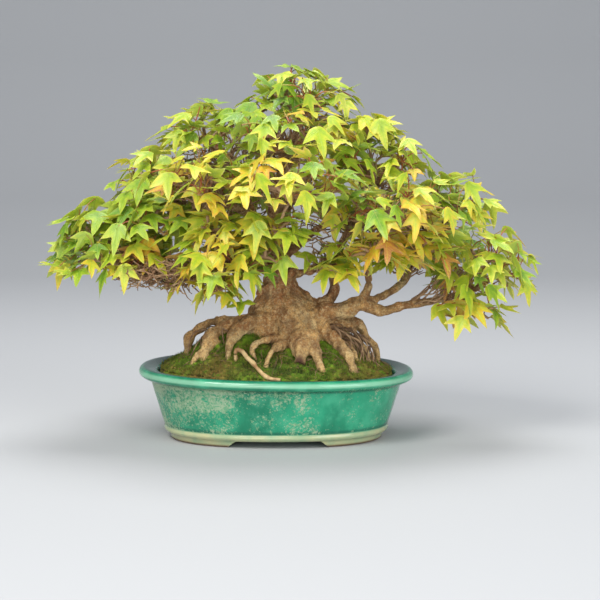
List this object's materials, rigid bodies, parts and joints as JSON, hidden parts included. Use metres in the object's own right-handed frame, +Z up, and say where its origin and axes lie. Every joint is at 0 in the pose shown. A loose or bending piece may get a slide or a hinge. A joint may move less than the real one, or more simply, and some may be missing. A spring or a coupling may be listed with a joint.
{
  "type": "shohin trident maple bonsai in a pot",
  "caption": "Small trident maple bonsai with a wide rounded crown of three-lobed leaves, a flared root base, moss and an oval glazed pot.",
  "frame": {"origin": "middle of the bounding box, on the level surface that the pot's feet stand on", "axes": "+Z up, -Y towards the front of the tree, +X to the right as seen from the front, along the pot's long axis"},
  "size_m": [0.3876, 0.247, 0.2893],
  "materials": {
    "glaze": "glossy mottled turquoise-green glaze with pale mineral bloom, cream at the foot",
    "drain_mesh": "black plastic drainage mesh",
    "soil": null,
    "moss": null,
    "bark": "tan-brown smooth bark with paler and reddish patches",
    "pale_root": "pale cream surface root",
    "leaf_green": null,
    "leaf_lime": null,
    "leaf_yellow": null
  },
  "bodies": {
    "root": {"pot": "glaze", "drain_mesh_left": "drain_mesh", "drain_mesh_right": "drain_mesh", "soil": "soil", "moss": "moss", "tree": "bark", "pale_root": "pale_root", "left_low_spray_1": "leaf_lime", "left_low_spray_2": "leaf_lime", "left_low_spray_3": "leaf_lime", "left_low_spray_4": "leaf_lime", "left_middle_spray_1": "leaf_lime", "left_middle_spray_2": "leaf_lime", "left_middle_spray_3": "leaf_lime", "left_upper_spray_1": "leaf_green", "left_upper_spray_2": "leaf_green", "left_upper_spray_3": "leaf_green", "top_spray_1": "leaf_green", "top_spray_2": "leaf_green", "top_spray_3": "leaf_green", "top_front_spray_1": "leaf_lime", "top_front_spray_2": "leaf_lime", "top_back_spray_1": "leaf_green", "top_back_spray_2": "leaf_green", "right_upper_spray_1": "leaf_lime", "right_upper_spray_2": "leaf_lime", "right_upper_spray_3": "leaf_lime", "right_middle_spray_1": "leaf_green", "right_middle_spray_2": "leaf_green", "right_middle_spray_3": "leaf_green", "right_low_spray_1": "leaf_green", "right_low_spray_2": "leaf_green", "right_low_spray_3": "leaf_green", "right_low_spray_4": "leaf_green", "right_back_spray_1": "leaf_green", "right_back_spray_2": "leaf_green", "right_back_spray_3": "leaf_green", "low_front_right_spray_1": "leaf_green", "right_front_spray_1": "leaf_yellow", "right_front_spray_2": "leaf_yellow", "right_front_spray_3": "leaf_yellow", "front_spray_1": "leaf_yellow", "front_spray_2": "leaf_yellow", "front_spray_3": "leaf_yellow", "front_spray_4": "leaf_yellow", "left_front_upper_spray_1": "leaf_green", "left_front_upper_spray_2": "leaf_green", "left_front_upper_spray_3": "leaf_green", "left_front_low_spray_1": "leaf_yellow", "left_front_low_spray_2": "leaf_yellow", "left_front_low_spray_3": "leaf_yellow", "left_front_low_spray_4": "leaf_yellow", "left_back_spray_1": "leaf_lime", "left_back_spray_2": "leaf_lime", "left_back_spray_3": "leaf_lime", "back_spray_1": "leaf_lime", "back_spray_2": "leaf_lime", "back_spray_3": "leaf_lime"}
  },
  "joints": []
}
